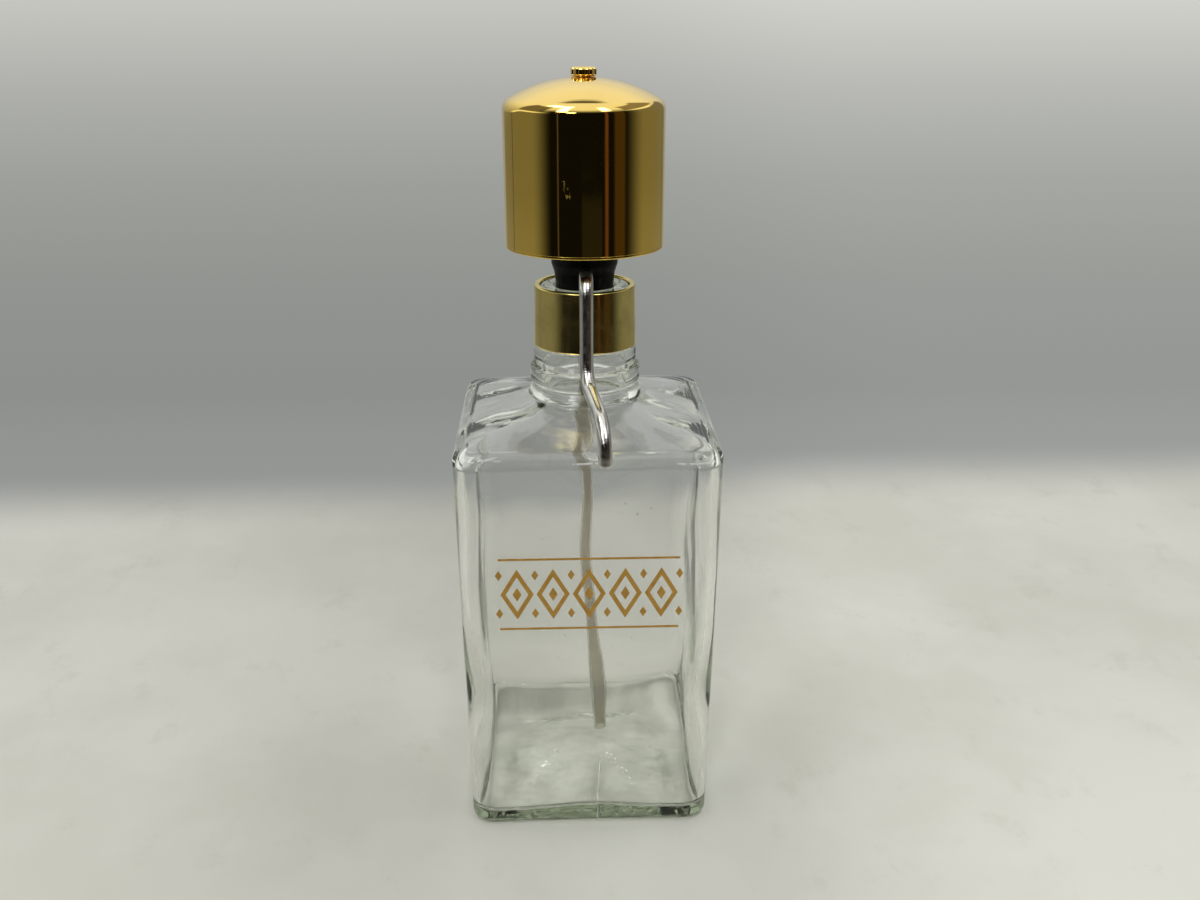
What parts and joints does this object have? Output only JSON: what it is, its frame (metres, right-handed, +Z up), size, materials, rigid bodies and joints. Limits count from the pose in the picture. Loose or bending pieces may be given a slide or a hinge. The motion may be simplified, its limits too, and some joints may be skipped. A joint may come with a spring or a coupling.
{
  "type": "push-top liquor decanter",
  "caption": "Square clear glass decanter with a hand air pump in a gold domed push cap, rubber stopper, bent chrome spout and dip tube.",
  "frame": {"origin": "centre of the foot's resting ring, on the surface it stands on", "axes": "+Z up along the bottle's axis; -Y to the front, the side that the spout pours to; +X to the right seen from the front"},
  "size_m": [0.0898, 0.0949, 0.2625],
  "materials": {
    "clear_glass": "clear, faintly green, moulded",
    "collar_brass": "satin, slightly dull",
    "polished_gold": "mirror polished gold tone",
    "plain_brass": "turned",
    "chrome_tube": "bright plated tube",
    "steel": "bright",
    "spring_steel": "drawn wire",
    "black_rubber": "moulded, slightly shiny",
    "bellows_rubber": "moulded",
    "valve_rubber": "thin sheet",
    "clear_vinyl": "clear, faintly grey-brown",
    "black_plastic": "moulded",
    "white_plastic": "moulded"
  },
  "bodies": {
    "bottle": {"bottle": "clear_glass", "neck_collar": "collar_brass"},
    "head": {"stopper": "black_rubber", "spout_tube": "chrome_tube", "dip_nipple": "steel", "dip_tube": "clear_vinyl", "air_tube": "steel", "pump_base": "black_plastic", "outlet_valve_cage": "white_plastic", "guide_sleeve": "plain_brass", "bellows_lower_band": "steel", "bellows": "bellows_rubber", "return_spring": "spring_steel"},
    "outlet_disc": {"outlet_valve_disc": "valve_rubber"},
    "cap": {"cap_shell": "polished_gold", "cap_hub": "white_plastic", "finial": "polished_gold", "finial_washer": "polished_gold", "upper_plate": "black_plastic", "plunger_rod": "steel", "inlet_valve_retainer": "steel", "bellows_upper_band": "steel"},
    "inlet_disc": {"inlet_valve_disc": "valve_rubber"}
  },
  "joints": [
    {"name": "head_lift", "type": "slide", "parent": "bottle", "child": "head", "axis": [0, 0, 1], "range_m": [0, 0.18]},
    {"name": "cap_press", "type": "slide", "parent": "head", "child": "cap", "axis": [0, 0, -1], "range_m": [0, 0.011], "stiffness_N_per_m": 300, "springref_m": -0.012, "deforming": ["bellows", "return_spring"]},
    {"name": "outlet_valve", "type": "slide", "parent": "head", "child": "outlet_disc", "axis": [0, 0, 1], "range_m": [0, 0.0012]},
    {"name": "inlet_valve", "type": "slide", "parent": "cap", "child": "inlet_disc", "axis": [0, 0, 1], "range_m": [0, 0.001]}
  ]
}
